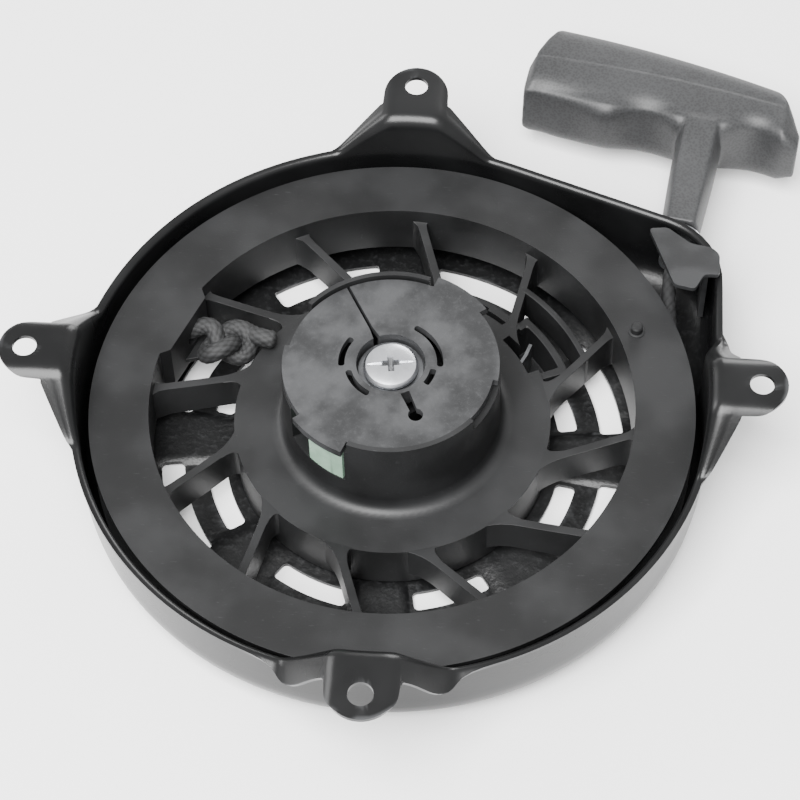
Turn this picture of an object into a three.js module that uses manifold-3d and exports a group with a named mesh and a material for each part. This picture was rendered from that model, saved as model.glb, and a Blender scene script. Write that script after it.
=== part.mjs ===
// Recoil starter of a small vertical-shaft engine, seen from the engine side.
// Millimetres, +Z along the pulley axis towards the engine, origin on that axis at the housing's closed face.
// +X and +Y point at two of the four mounting ears. The rope leaves through the wall near +Y.
import * as THREE from "three";
import { mergeVertices } from "three/addons/utils/BufferGeometryUtils.js";
import Module from "manifold-3d";

const wasm = await Module();
wasm.setup();

// ---------- driving dimensions ----------
const GAP = 0.3; // between pieces that touch

// housing, pressed from sheet
const SHEET = 1.2;
const WALL_R = 90.8; // outside of the side wall
const WALL_TOP = 30.5; // height of the lip
const FLOOR_CORNER_R = 12; // outside radius between floor and wall
const LIP_W = 0.9;
const EAR_RISE = 14; // of the ears' mounting face above the lip
const EAR_TOP = WALL_TOP + EAR_RISE;
const EAR_OUT = 13.2; // of the ear holes' centres from the wall
const EAR_CIRCLE_R = WALL_R + EAR_OUT;
const EAR_HOLE_R = 3.45;
const EAR_PAD_R = 9; // rounded end of a pad
const EAR_PAD_REACH = 7.4; // from hole centre to the pad's end
const EAR_SHOULDER = 12; // from a pad's side to the foot of its slope
const EAR_BEND = 4; // rounding from the wall into a pad
const VENT_COUNT = 8;
const VENT_RINGS = [
  { inner: 49.2, outer: 55.0, span: 24 },
  { inner: 61.5, outer: 68.3, span: 29 },
];

// corner of the housing where the rope leaves
const CORNER_OUT = 2.4;
const CORNER_X = WALL_R + CORNER_OUT; // outside of its straight side
const CORNER_TANGENT = 70; // where its other side leaves the round wall, degrees
const CORNER_R = 24;
const CORNER_FLOOR = 4;
const CORNER_FOOT_Y = 24; // lower end of the straight side

// post that everything turns on
const POST_R = 7.5;
const POST_SHOULDER = 1.6;
const POST_NECK_R = POST_R - POST_SHOULDER;
const POST_NECK_Z = 38.9;
const POST_TOP = 41.2;
const POST_FOOT_R = POST_R + 7.5;
const POST_FOOT_T = 1.8;
const SCREW_R = 2.9;
const SCREW_HEAD_R = POST_R + 0.25;
const SCREW_HEAD_H = 2.5;
const SCREW_END_Z = 20;
const WASHER_R = POST_R + 1.7;
const WASHER_T = 1.0;
const RUNNING = 0.3; // radial play of the pulley on the post

// pulley
const RIM_CLEAR = 3.8; // from the wall's outside
const RIM_R = WALL_R - RIM_CLEAR;
const RIM_W = 16.5;
const RIM_INNER_R = RIM_R - RIM_W;
const RIM_DROP = 4.2; // below the lip
const RIM_TOP = WALL_TOP - RIM_DROP;
const RIM_BOTTOM = 8.6;
const FLANGE_T = 2.1;
const GROOVE_DEPTH = 13;
const GROOVE_R = RIM_R - GROOVE_DEPTH;
const WEB_TOP = 18.2;
const WEB_T = 2.4;
const CUP_R = 45.8; // spring cup under the web
const CUP_WALL = 2.4;
const CUP_BOTTOM = 2.4;
const HUB_R = 31;
const HUB_FOOT_R = HUB_R + 3.1;
const HUB_WALL = 3.4;
const HUB_TOP = 42.6;
const HUB_FLOOR = 28.4; // pawls lie on it
const BOSS_WALL = 4;
const BOSS_BOTTOM = 16.4;
const BOSS_TOP = 35.5;
const SPOKE_COUNT = 12;
const SPOKE_T = 2.5;
const SPOKE_HUB_ANGLE = -15.5;
const SPOKE_RIM_ANGLE = -2.7;
const SPOKE_RIM_TOP = 21.5;
const GUARD_SPANS = [
  [72.6, 143.6],
  [-108.9, -38.2],
]; // raised walls beside the friction plate, degrees
const GUARD_TOP = 47;
const GUARD_T = 1.4;
const WINDOW_SPANS = [
  [-150, -110.5],
  [30, 69.5],
]; // where the pawls come out, degrees
const HOOK_SPAN = [25, 44]; // opening for the spring's outer hook, degrees
const HOOK_R = 52;
const KNOT_CHORD = [147, 186]; // flat of the rim beside the rope's knot, degrees
const KNOT_INSET = 10.58; // of the knot's middle from that flat
const PEG = { r: 1.75, height: 2.5, inset: 4.885, angle: 22.789 };

// friction plate
const PLATE_TOP = 45.5;
const PLATE_T = 2.5;
const PLATE_R = HUB_R - 1.8;
const PLATE_WIDE_R = HUB_R - 0.4;
const PLATE_WIDE_FROM = -8; // clear of the guards over the plate's whole turn, degrees
const PLATE_LOBE_R = HUB_R + 1.9;
const PLATE_EYE_R = WASHER_R + 0.55;
const PLATE_CUP_WALL = 1.1;
const PLATE_SEAT_Z = 39.5;
const PLATE_SEAT_R = POST_NECK_R + 0.6;
const LUG_R = 1.5;
const LUG_CIRCLE_R = 16.5;
const LUG_LENGTH = 6;

// pawls
const PAWL_PIVOT_R = HUB_R - 8.4;
const PAWL_PIVOT_ANGLE = -146;
const PAWL_HEEL_R = 4.2;
const PAWL_TIP_ANGLE = -112;
const PAWL_FACE_ANGLE = -134;
const PAWL_PIN_R = 2;
const PAWL_PIN_LENGTH = 2.2;

// springs
const STRIP_T = 1.0;
const STRIP_H = 11;
const STRIP_TURNS = 7;
const STRIP_INNER_R = POST_R + 2.1;
const STRIP_OUTER_R = CUP_R - 5;
const COVER_T = 0.8;
const WIRE_R = 0.5;
const WIRE_TURNS = 2.4;

// rope
const ROPE_R = 2.2;
const ROPE_Z = (RIM_TOP + RIM_BOTTOM) / 2;
const PULL_ANGLE = 81; // direction in which the rope leaves, degrees
const EYELET_ANGLE = 60; // where the eyelet sits on the corner's arc, degrees
const EYELET_WALL = 1.5;
const EYELET_REACH_IN = 5;
const EYELET_REACH_OUT = 5.2;
const EYELET_FLANGE_R = 7.2;
const EYELET_FLANGE_T = 1.3;

// grip, in its own axes: across, along the pull, up
const GRIP_T = 23;
const STEM_W = 13.2;
const STEM_H = 14;
const STEM_CHAMFER = 3.4;
const BAR_FRONT = 41.5;
const BAR_LEFT = -56.5;
const BAR_RIGHT = 28;
const BAR_BACK_LEFT = 72.5;
const BAR_BACK_RIGHT = 62;
const SCALLOP = 4; // depth of the finger hollows
const GRIP_ROUND = 5;
const POCKET_W = 13;
const POCKET_H = 12;
const POCKET_BOTTOM = 52;
const INSERT_R = 5.2;
const INSERT_T = 2;

const ROUND = 60; // steps of a large circle
const SMALL_ROUND = 24;
const rad = THREE.MathUtils.degToRad;

// ---------- solids ----------
// A closed geometry as a solid for joining and cutting.
function solid(geometry) {
  const plain = geometry.index ? geometry.toNonIndexed() : geometry.clone();
  plain.deleteAttribute("normal");
  plain.deleteAttribute("uv");
  const merged = mergeVertices(plain, 1e-4);
  return new wasm.Manifold(
    new wasm.Mesh({
      numProp: 3,
      vertProperties: merged.attributes.position.array,
      triVerts: new Uint32Array(merged.index.array),
    }),
  );
}

function geometryOf(manifold) {
  const mesh = manifold.getMesh();
  const geometry = new THREE.BufferGeometry();
  geometry.setAttribute("position", new THREE.BufferAttribute(new Float32Array(mesh.vertProperties), 3));
  geometry.setIndex(new THREE.BufferAttribute(new Uint32Array(mesh.triVerts), 1));
  return geometry;
}

const polar = (r, degrees) => new THREE.Vector2(r * Math.cos(rad(degrees)), r * Math.sin(rad(degrees)));
const joined = (solids) => solids.reduce((sum, next) => sum.add(next));

// A profile of [radius, z] points, listed upwards on the outside, turned round +Z.
function turned(profile, steps = ROUND) {
  const points = profile.map(([r, z]) => new THREE.Vector2(r, z));
  const closed = profile[0][0] > 0;
  if (closed) points.push(points[0].clone());
  return solid(new THREE.LatheGeometry(points, steps).rotateX(Math.PI / 2));
}

function prism(shape, z0, z1, curveSegments = 12) {
  const geometry = new THREE.ExtrudeGeometry(shape, { depth: z1 - z0, bevelEnabled: false, curveSegments });
  return solid(geometry.translate(0, 0, z0));
}

function polygon(points) {
  return new THREE.Shape(points.map(([x, y]) => new THREE.Vector2(x, y)));
}

// Part of a ring between two radii and two angles.
function sector(inner, outer, from, to, z0, z1, steps = Math.max(2, Math.round((to - from) / 6))) {
  const shape = new THREE.Shape();
  shape.absarc(0, 0, outer, rad(from), rad(to), false);
  shape.absarc(0, 0, inner, rad(to), rad(from), true);
  shape.closePath();
  return prism(shape, z0, z1, steps);
}

function rod(r, z0, z1, x = 0, y = 0, steps = SMALL_ROUND) {
  const geometry = new THREE.CylinderGeometry(r, r, z1 - z0, steps).rotateX(Math.PI / 2);
  return solid(geometry.translate(x, y, (z0 + z1) / 2));
}

function block(x0, x1, y0, y1, z0, z1) {
  const geometry = new THREE.BoxGeometry(x1 - x0, y1 - y0, z1 - z0);
  return solid(geometry.translate((x0 + x1) / 2, (y0 + y1) / 2, (z0 + z1) / 2));
}

// Tube of radius r along a curve.
function tube(curve, r, steps, sides = 8) {
  const section = new THREE.Shape();
  for (let i = 0; i < sides; i += 1) {
    const point = polar(r, (360 * i) / sides);
    if (i === 0) section.moveTo(point.x, point.y);
    else section.lineTo(point.x, point.y);
  }
  section.closePath();
  return solid(new THREE.ExtrudeGeometry(section, { steps, bevelEnabled: false, extrudePath: curve }));
}

// ---------- housing ----------
// Plan of the rope corner, drawn from the axis. A positive offset grows it.
function cornerPlan(offset) {
  const r = CORNER_R + offset;
  const x = CORNER_X - CORNER_R;
  const y = (WALL_R - CORNER_R - x * Math.cos(rad(CORNER_TANGENT))) / Math.sin(rad(CORNER_TANGENT));
  const foot = polar(WALL_R + offset, 12);
  const shape = new THREE.Shape();
  shape.moveTo(0, 0);
  shape.lineTo(foot.x, foot.y);
  shape.lineTo(x + r, CORNER_FOOT_Y);
  shape.absarc(x, y, r, 0, rad(CORNER_TANGENT), false);
  const leave = polar(WALL_R + offset, CORNER_TANGENT);
  shape.lineTo(leave.x, leave.y);
  shape.closePath();
  return shape;
}

const CORNER_CENTRE = (() => {
  const x = CORNER_X - CORNER_R;
  const y = (WALL_R - CORNER_R - x * Math.cos(rad(CORNER_TANGENT))) / Math.sin(rad(CORNER_TANGENT));
  return new THREE.Vector2(x, y);
})();

// The bowl as a full solid, shrunk by an offset for its inside.
function bowl(offset, top) {
  const r = WALL_R - offset;
  const bend = FLOOR_CORNER_R - offset;
  const profile = [[0, offset]];
  const steps = 4;
  for (let i = 0; i <= steps; i += 1) {
    const a = rad((90 * i) / steps);
    profile.push([r - bend + bend * Math.sin(a), offset + bend - bend * Math.cos(a)]);
  }
  profile.push([r, top], [0, top]);
  const corner = new THREE.ExtrudeGeometry(cornerPlan(-offset - 4), {
    depth: top - CORNER_FLOOR - offset - 4,
    bevelThickness: 4,
    bevelSize: 4,
    bevelSegments: 2,
    curveSegments: 8,
  });
  const cornerSolid = solid(corner.translate(0, 0, CORNER_FLOOR + offset + 4));
  const cap = block(-150, 150, -150, 150, -10, top);
  return turned(profile, ROUND).add(cornerSolid.intersect(cap));
}

// Height of an ear's surface at a distance t from its centre line.
function earProfile() {
  const half = EAR_PAD_R - 0.5;
  const rise = EAR_TOP - WALL_TOP;
  const side = [
    [half, EAR_TOP],
    [half + 0.14 * EAR_SHOULDER, EAR_TOP - 0.12 * rise],
    [half + 0.3 * EAR_SHOULDER, EAR_TOP - 0.33 * rise],
    [half + 0.7 * EAR_SHOULDER, EAR_TOP - 0.74 * rise],
    [half + EAR_SHOULDER, EAR_TOP - 0.92 * rise],
    [half + 1.3 * EAR_SHOULDER, WALL_TOP],
    [half + 2 * EAR_SHOULDER, WALL_TOP],
  ];
  return [...side.map(([t, z]) => [-t, z]).reverse(), ...side];
}

// Extrudes a (t, z) outline along +X, t running along +Y.
function alongX(outline, x0, x1) {
  const geometry = new THREE.ExtrudeGeometry(polygon(outline), { depth: x1 - x0, bevelEnabled: false });
  geometry.applyMatrix4(new THREE.Matrix4().makeBasis(
    new THREE.Vector3(0, 1, 0), new THREE.Vector3(0, 0, 1), new THREE.Vector3(1, 0, 0)));
  return solid(geometry.translate(x0, 0, 0));
}

// One ear on +X: a pad and its shoulders, and the wall under them.
function ear() {
  const top = earProfile();
  const reach = EAR_CIRCLE_R + EAR_PAD_REACH;
  const band = alongX([...top, ...top.map(([t, z]) => [t, z - SHEET]).reverse()], WALL_R - 12, reach + 2);
  const under = alongX([...top, [top.at(-1)[0], WALL_TOP - 2], [top[0][0], WALL_TOP - 2]], WALL_R - 12, WALL_R + 2);
  const plan = new THREE.Shape();
  const lipEnd = top.at(-1)[0];
  const lipX = Math.sqrt((WALL_R + LIP_W) ** 2 - lipEnd ** 2);
  const padX = reach - EAR_PAD_R;
  plan.moveTo(WALL_R - 14, -lipEnd);
  plan.lineTo(lipX, -lipEnd);
  plan.quadraticCurveTo(WALL_R + LIP_W + 1, -EAR_PAD_R - 6, padX, -EAR_PAD_R);
  plan.absarc(padX, 0, EAR_PAD_R, -Math.PI / 2, Math.PI / 2, false);
  plan.quadraticCurveTo(WALL_R + LIP_W + 1, EAR_PAD_R + 6, lipX, lipEnd);
  plan.lineTo(WALL_R - 14, lipEnd);
  plan.closePath();
  const bent = (r, lift) => turned([
    [0, WALL_TOP - 5],
    [r, WALL_TOP - 5],
    [r, EAR_TOP - EAR_BEND - lift],
    [r + 0.3 * EAR_BEND, EAR_TOP - 0.3 * EAR_BEND - lift],
    [r + EAR_BEND, EAR_TOP - lift],
    [r + EAR_BEND, EAR_TOP + 5],
    [0, EAR_TOP + 5],
  ]);
  const inside = bent(WALL_R - SHEET, 0);
  const wallRing = bent(WALL_R, SHEET / 2);
  const flange = band.intersect(prism(plan, WALL_TOP - SHEET - 1, EAR_TOP + 1, 8));
  return flange
    .add(under.intersect(wallRing))
    .subtract(inside)
    .subtract(rod(EAR_HOLE_R, 0, EAR_TOP + 10, EAR_CIRCLE_R, 0, SMALL_ROUND));
}

// Where the rope crosses the corner's wall, and its direction there.
const EXIT = polar(CORNER_R, EYELET_ANGLE).add(CORNER_CENTRE);

// Places a solid, drawn with its axis on +Y at the origin, on the rope's line outside the housing.
function onPull(manifold) {
  return manifold.rotate([0, 0, PULL_ANGLE - 90]).translate([EXIT.x, EXIT.y, ROPE_Z]);
}

function rodAlongY(r, y0, y1, steps = SMALL_ROUND) {
  return solid(new THREE.CylinderGeometry(r, r, y1 - y0, steps).translate(0, (y0 + y1) / 2, 0));
}

function housingShell() {
  const inside = bowl(SHEET, WALL_TOP + 20);
  const shell = bowl(0, WALL_TOP).subtract(inside);
  const lipPlan = rod(WALL_R + LIP_W, WALL_TOP - SHEET, WALL_TOP, 0, 0, ROUND)
    .add(prism(cornerPlan(LIP_W), WALL_TOP - SHEET, WALL_TOP, 8));
  const half = EAR_PAD_R - 0.5 + EAR_SHOULDER;
  let lip = lipPlan.subtract(inside);
  const clearUnderEar = block(WALL_R, WALL_R + 20, -half, half, 0, WALL_TOP + 1);
  const quarters = [0, 90, 180, 270];
  for (const turn of quarters) lip = lip.subtract(clearUnderEar.rotate([0, 0, turn]));
  const ears = quarters.map((turn) => ear().rotate([0, 0, turn]));
  let housing = joined([shell, lip, ...ears]);
  for (const ring of VENT_RINGS) {
    for (let i = 0; i < VENT_COUNT; i += 1) {
      const middle = (360 / VENT_COUNT) * (i + 0.5);
      const slot = sector(ring.inner, ring.outer, middle - ring.span / 2, middle + ring.span / 2, -1, SHEET + 1, 4);
      housing = housing.subtract(slot);
    }
  }
  const ropeHole = rodAlongY(ROPE_R + 0.8 + EYELET_WALL + GAP, -EYELET_REACH_IN - 4, EYELET_REACH_OUT + 4);
  return housing.subtract(onPull(ropeHole));
}

function centrePost() {
  const foot = SHEET + GAP;
  const body = turned([
    [0, foot],
    [POST_FOOT_R, foot],
    [POST_FOOT_R, foot + POST_FOOT_T],
    [POST_R, foot + POST_FOOT_T],
    [POST_R, POST_NECK_Z],
    [POST_NECK_R, POST_NECK_Z],
    [POST_NECK_R, POST_TOP],
    [0, POST_TOP],
  ], SMALL_ROUND);
  const anchorSlot = block(POST_R - 2.5, POST_R + 1, -1, 1, foot + POST_FOOT_T + 0.5, foot + POST_FOOT_T + 1 + STRIP_H);
  return body.subtract(rod(SCREW_R + GAP, SCREW_END_Z - 1, POST_TOP + 1)).subtract(anchorSlot);
}

// Flat plate over the rope corner, lying on the lip, with a leg down the inside of the wall.
function ropeGuide() {
  const z = WALL_TOP + GAP;
  const t = 1.6;
  const legX = CORNER_X - SHEET - 2;
  const legFrom = CORNER_CENTRE.y + 1.6;
  const legTo = legFrom + 6.5;
  const plate = prism(polygon([
    [3, 17.1], [8.4, 17.8], [15.3, 12.2], [CORNER_R - SHEET - 1, 10.9], [CORNER_R, 8.6],
    [CORNER_R, 1], [19.5, 0.9], [16.8, -4.6], [10.7, -3.3],
  ].map(([x, y]) => [CORNER_CENTRE.x + x, CORNER_CENTRE.y + y])), z, z + t);
  return plate.add(block(legX - t, legX, legFrom, legTo, WALL_TOP / 3, z + t));
}

function ropeEyelet() {
  const bore = ROPE_R + 0.8;
  const pipe = rodAlongY(bore + EYELET_WALL, -EYELET_REACH_IN, EYELET_REACH_OUT);
  const flange = rodAlongY(EYELET_FLANGE_R, EYELET_REACH_OUT - EYELET_FLANGE_T, EYELET_REACH_OUT);
  const hole = rodAlongY(bore, -EYELET_REACH_IN - 1, EYELET_REACH_OUT + 1);
  return onPull(pipe.add(flange).subtract(hole));
}

// ---------- pulley ----------
function spoke(index) {
  const turn = (360 / SPOKE_COUNT) * index;
  const hub = polar(CUP_R - 1, SPOKE_HUB_ANGLE);
  const rim = polar(RIM_INNER_R + 1, SPOKE_RIM_ANGLE);
  const length = hub.distanceTo(rim);
  const side = alongX([[0, RIM_BOTTOM - 2.6], [length, RIM_BOTTOM], [length, SPOKE_RIM_TOP], [0, WEB_TOP]],
    -SPOKE_T / 2, SPOKE_T / 2);
  const heading = THREE.MathUtils.radToDeg(Math.atan2(rim.y - hub.y, rim.x - hub.x));
  return side.rotate([0, 0, heading - 90]).translate([hub.x, hub.y, 0]).rotate([0, 0, turn]);
}

function rim() {
  const ring = turned([
    [RIM_INNER_R, RIM_BOTTOM],
    [RIM_R, RIM_BOTTOM],
    [RIM_R, RIM_BOTTOM + FLANGE_T - 0.4],
    [GROOVE_R, RIM_BOTTOM + FLANGE_T],
    [GROOVE_R, RIM_TOP - FLANGE_T],
    [RIM_R, RIM_TOP - FLANGE_T + 0.4],
    [RIM_R, RIM_TOP],
    [RIM_INNER_R, RIM_TOP],
  ], ROUND + 12);
  const [from, to] = KNOT_CHORD;
  const reach = RIM_INNER_R + 1;
  const a = polar(reach, from);
  const b = polar(reach, to);
  const segment = new THREE.Shape();
  segment.moveTo(b.x, b.y);
  segment.lineTo(a.x, a.y);
  segment.absarc(0, 0, reach, rad(from), rad(to), false);
  const wall = 2.2;
  const inward = polar(wall, (from + to) / 2);
  const full = prism(segment, RIM_BOTTOM, RIM_TOP, 8);
  const hollow = full.translate([inward.x, inward.y, 0]).intersect(
    block(-150, 0, -60, 90, RIM_BOTTOM - 1, RIM_TOP - FLANGE_T));
  const hole = solid(new THREE.CylinderGeometry(ROPE_R + 0.9, ROPE_R + 0.9, 16, 12)
    .rotateZ(Math.PI / 2)).rotate([0, 0, 157]).translate([...polar(GROOVE_R - 4, 157), ROPE_Z]);
  return ring.add(full.subtract(hollow)).subtract(hole);
}

// Hub tower, web and spring cup in one turned profile.
function hubAndCup() {
  const bore = POST_R + RUNNING;
  const boss = bore + BOSS_WALL;
  const inner = HUB_R - HUB_WALL;
  return turned([
    [bore, BOSS_BOTTOM],
    [boss, BOSS_BOTTOM],
    [boss, HUB_FLOOR - 3],
    [inner, HUB_FLOOR - 3],
    [inner, WEB_TOP - WEB_T],
    [CUP_R - CUP_WALL, WEB_TOP - WEB_T],
    [CUP_R - CUP_WALL, CUP_BOTTOM],
    [CUP_R, CUP_BOTTOM],
    [CUP_R, WEB_TOP],
    [HUB_FOOT_R, WEB_TOP],
    [HUB_R + 0.6, WEB_TOP + 1.4],
    [HUB_R, WEB_TOP + 4],
    [HUB_R, HUB_TOP],
    [inner, HUB_TOP],
    [inner, HUB_FLOOR],
    [boss, HUB_FLOOR],
    [boss, BOSS_TOP],
    [bore, BOSS_TOP],
  ], ROUND);
}

const PAWL_PIVOTS = [0, 180].map((turn) => polar(PAWL_PIVOT_R, PAWL_PIVOT_ANGLE + turn));

function pulley() {
  const guards = GUARD_SPANS.map(([from, to]) => sector(HUB_R - GUARD_T, HUB_R, from, to, HUB_TOP - 2, GUARD_TOP));
  const spokes = Array.from({ length: SPOKE_COUNT }, (_, index) => spoke(index));
  const [hookFrom, hookTo] = HOOK_SPAN;
  const pocket = sector(CUP_R - 1.2, HOOK_R + 2.4, hookFrom - 3, hookTo + 3, CUP_BOTTOM, WEB_TOP - 1.8);
  const rib = sector(58.6, 60.6, 22, 54, RIM_BOTTOM, 19.8);
  const peg = rod(PEG.r, RIM_TOP - 1, RIM_TOP + PEG.height, ...polar(RIM_INNER_R + PEG.inset, PEG.angle), 12);
  let body = joined([rim(), hubAndCup(), ...guards, ...spokes, pocket, rib, peg]);
  body = body.subtract(sector(CUP_R - CUP_WALL - 1, HOOK_R, hookFrom, hookTo, CUP_BOTTOM + 1.6, WEB_TOP + 2));
  for (const [from, to] of WINDOW_SPANS) {
    body = body.subtract(sector(HUB_R - HUB_WALL - 1, HUB_R + 2, from, to, HUB_FLOOR, HUB_TOP + 1));
  }
  for (const pivot of PAWL_PIVOTS) {
    body = body.subtract(rod(PAWL_PIN_R + GAP, HUB_FLOOR - 2.5, HUB_FLOOR + 1, pivot.x, pivot.y, 16));
  }
  return body;
}

function springCover() {
  const z = CUP_BOTTOM + GAP;
  return turned([
    [POST_FOOT_R + 1, z],
    [CUP_R - CUP_WALL - GAP, z],
    [CUP_R - CUP_WALL - GAP, z + COVER_T],
    [POST_FOOT_R + 1, z + COVER_T],
  ], 48);
}

// Flat spiral: an eye round the post, its turns, and a hook through the cup's opening.
function rewindSpring() {
  const centre = [];
  const perTurn = 20;
  const start = HOOK_SPAN[0] + 6;
  const steps = STRIP_TURNS * perTurn;
  for (let i = 0; i <= steps; i += 1) {
    const share = i / steps;
    const r = STRIP_INNER_R + (STRIP_OUTER_R - STRIP_INNER_R) * share;
    centre.push(polar(r, start - (360 * (steps - i)) / perTurn));
  }
  centre.push(polar(CUP_R, start + 4), polar(CUP_R + 3.5, start + 7));
  const side = (sign) => centre.map((point, i) => {
    const next = centre[Math.min(i + 1, centre.length - 1)];
    const previous = centre[Math.max(i - 1, 0)];
    const along = next.clone().sub(previous).normalize();
    return [point.x - (sign * along.y * STRIP_T) / 2, point.y + (sign * along.x * STRIP_T) / 2];
  });
  const z = CUP_BOTTOM + GAP + COVER_T + 1;
  return prism(polygon([...side(1), ...side(-1).reverse()]), z, z + STRIP_H);
}

// The wound rope: a full first layer, and the second layer below the turn that is being drawn off.
function ropeWinding() {
  const inner = GROOVE_R + GAP;
  const first = inner + 2 * ROPE_R;
  const second = first + 2 * ROPE_R - 0.2;
  const low = RIM_BOTTOM + FLANGE_T + GAP;
  const high = RIM_TOP - FLANGE_T - GAP;
  const step = ROPE_Z - ROPE_R - GAP;
  return turned([[inner, low], [second, low], [second, step], [first, step], [first, high], [inner, high]]);
}

// Knot that holds the rope in the pulley, with its short tail over the web.
function ropeKnot() {
  const [from, to] = KNOT_CHORD;
  const flat = ((RIM_INNER_R + 1) * Math.cos(rad((to - from) / 2))) / Math.cos(rad(155 - (from + to) / 2));
  const at = polar(flat - KNOT_INSET, 155);
  const ball = solid(new THREE.SphereGeometry(1, 14, 9).rotateX(Math.PI / 2).scale(7.6, 8.2, 6.6)
    .rotateZ(rad(-20)).translate(at.x, at.y, ROPE_Z - 1));
  const tail = tube(new THREE.CatmullRomCurve3([
    new THREE.Vector3(at.x + 3, at.y - 1, ROPE_Z),
    new THREE.Vector3(at.x + 8, at.y - 1, WEB_TOP + ROPE_R + 1.6),
    new THREE.Vector3(...polar(CUP_R + 0.221, 149.733), WEB_TOP + ROPE_R + 0.8),
    new THREE.Vector3(...polar(CUP_R - 2.98, 147.832), WEB_TOP + ROPE_R + 0.4),
  ]), ROPE_R, 10);
  return ball.add(tail);
}

// The turn that is being drawn off the winding, straight on to the eyelet and out of it.
const DRAWN_R = GROOVE_R + 2 * GAP + 3 * ROPE_R;
const ropeLeaves = polar(DRAWN_R, -1);
const pullDirection = polar(1, PULL_ANGLE);

function ropeRun() {
  const through = (distance) => pullDirection.clone().multiplyScalar(distance).add(EXIT);
  const lying = Array.from({ length: 20 }, (_, i) => polar(DRAWN_R, -152 + (151 * i) / 20));
  const points = [
    ...lying,
    ropeLeaves,
    ropeLeaves.clone().lerp(through(-EYELET_REACH_IN - 6), 0.5),
    through(-EYELET_REACH_IN - 6),
    through(-EYELET_REACH_IN),
    through(0),
    through(EYELET_REACH_OUT - 0.2),
  ];
  return tube(new THREE.CatmullRomCurve3(points.map((p) => new THREE.Vector3(p.x, p.y, ROPE_Z))), ROPE_R, 60);
}

// ---------- clutch: friction plate, pawls, screw ----------
function frictionPlate() {
  const bottom = PLATE_TOP - PLATE_T;
  const disc = rod(PLATE_R, bottom, PLATE_TOP, 0, 0, ROUND);
  const cupR = PLATE_EYE_R + PLATE_CUP_WALL;
  const cup = rod(cupR, PLATE_SEAT_Z, PLATE_TOP, 0, 0, 36);
  const parts = [disc, cup];
  for (const turn of [0, 180]) {
    parts.push(sector(PLATE_R - 2, PLATE_WIDE_R, PLATE_WIDE_FROM + turn, 40 + turn, bottom, PLATE_TOP));
    parts.push(sector(PLATE_R - 2, PLATE_LOBE_R, 38.5 + turn, 69.5 + turn, bottom, PLATE_TOP));
    const lug = polar(LUG_CIRCLE_R, 60 + turn);
    parts.push(rod(LUG_R, bottom - LUG_LENGTH, bottom + 1, lug.x, lug.y, 12));
  }
  const keyhole = polar(19, -64.5);
  const slit = block(PLATE_EYE_R - 0.4, PLATE_R + 5, -0.45, 0.45, PLATE_SEAT_Z - 1, PLATE_TOP + 1).rotate([0, 0, 119]);
  const keySlot = block(PLATE_EYE_R + PLATE_CUP_WALL, 19, -1, 1, bottom - 1, PLATE_TOP + 1).rotate([0, 0, -64.5]);
  const cuts = [
    rod(PLATE_EYE_R, PLATE_SEAT_Z + 1.7, PLATE_TOP + 1, 0, 0, 36),
    rod(PLATE_SEAT_R, PLATE_SEAT_Z - 1, PLATE_TOP + 1, 0, 0, 24),
    slit,
    keySlot,
    rod(2.1, bottom - 1, PLATE_TOP + 1, keyhole.x, keyhole.y, 16),
  ];
  const arms = [[146, 188, 13.2], [196, 244, 11.5], [-2, 65, 13.2], [-33, -7, 11.5]];
  for (const [from, to, inner] of arms) {
    cuts.push(sector(inner, inner + 1.4, from, to, bottom - 1, PLATE_TOP + 1));
  }
  return cuts.reduce((body, cut) => body.subtract(cut), joined(parts));
}

// Pawl at rest inside the hub, its face flush with the hub's wall. The second is half a turn round.
function pawl(turn) {
  const pivot = polar(PAWL_PIVOT_R, PAWL_PIVOT_ANGLE);
  const faceR = HUB_R - 0.2;
  const bottom = HUB_FLOOR + GAP;
  const top = HUB_TOP - GAP;
  const tip = polar(faceR, PAWL_TIP_ANGLE);
  const heelInner = polar(PAWL_HEEL_R, PAWL_PIVOT_ANGLE + 125).add(pivot);
  const shape = new THREE.Shape();
  shape.moveTo(heelInner.x, heelInner.y);
  shape.lineTo(tip.x + 1.6, tip.y + 2.6);
  shape.lineTo(tip.x, tip.y);
  shape.absarc(0, 0, faceR, rad(PAWL_TIP_ANGLE), rad(PAWL_FACE_ANGLE), true);
  const heelOuter = polar(PAWL_HEEL_R, PAWL_PIVOT_ANGLE + 20).add(pivot);
  shape.lineTo(heelOuter.x, heelOuter.y);
  shape.closePath();
  const body = prism(shape, bottom, top, 6)
    .add(rod(PAWL_HEEL_R, bottom, top, pivot.x, pivot.y, 20))
    .add(rod(PAWL_PIN_R, HUB_FLOOR - PAWL_PIN_LENGTH, bottom + 1, pivot.x, pivot.y, 16));
  return body.rotate([0, 0, turn]);
}

function frictionSpring() {
  class Helix extends THREE.Curve {
    getPoint(share, target = new THREE.Vector3()) {
      const turn = polar(POST_R + 1.1 + WIRE_R, 360 * WIRE_TURNS * share);
      const low = BOSS_TOP + GAP + WIRE_R;
      const high = PLATE_SEAT_Z - GAP - WIRE_R;
      return target.set(turn.x, turn.y, low + (high - low) * share);
    }
  }
  return tube(new Helix(), WIRE_R, 48, 6);
}

function screwWasher() {
  const z = POST_TOP + GAP;
  return turned([[SCREW_R + GAP, z], [WASHER_R, z], [WASHER_R, z + WASHER_T], [SCREW_R + GAP, z + WASHER_T]], 32);
}

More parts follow.
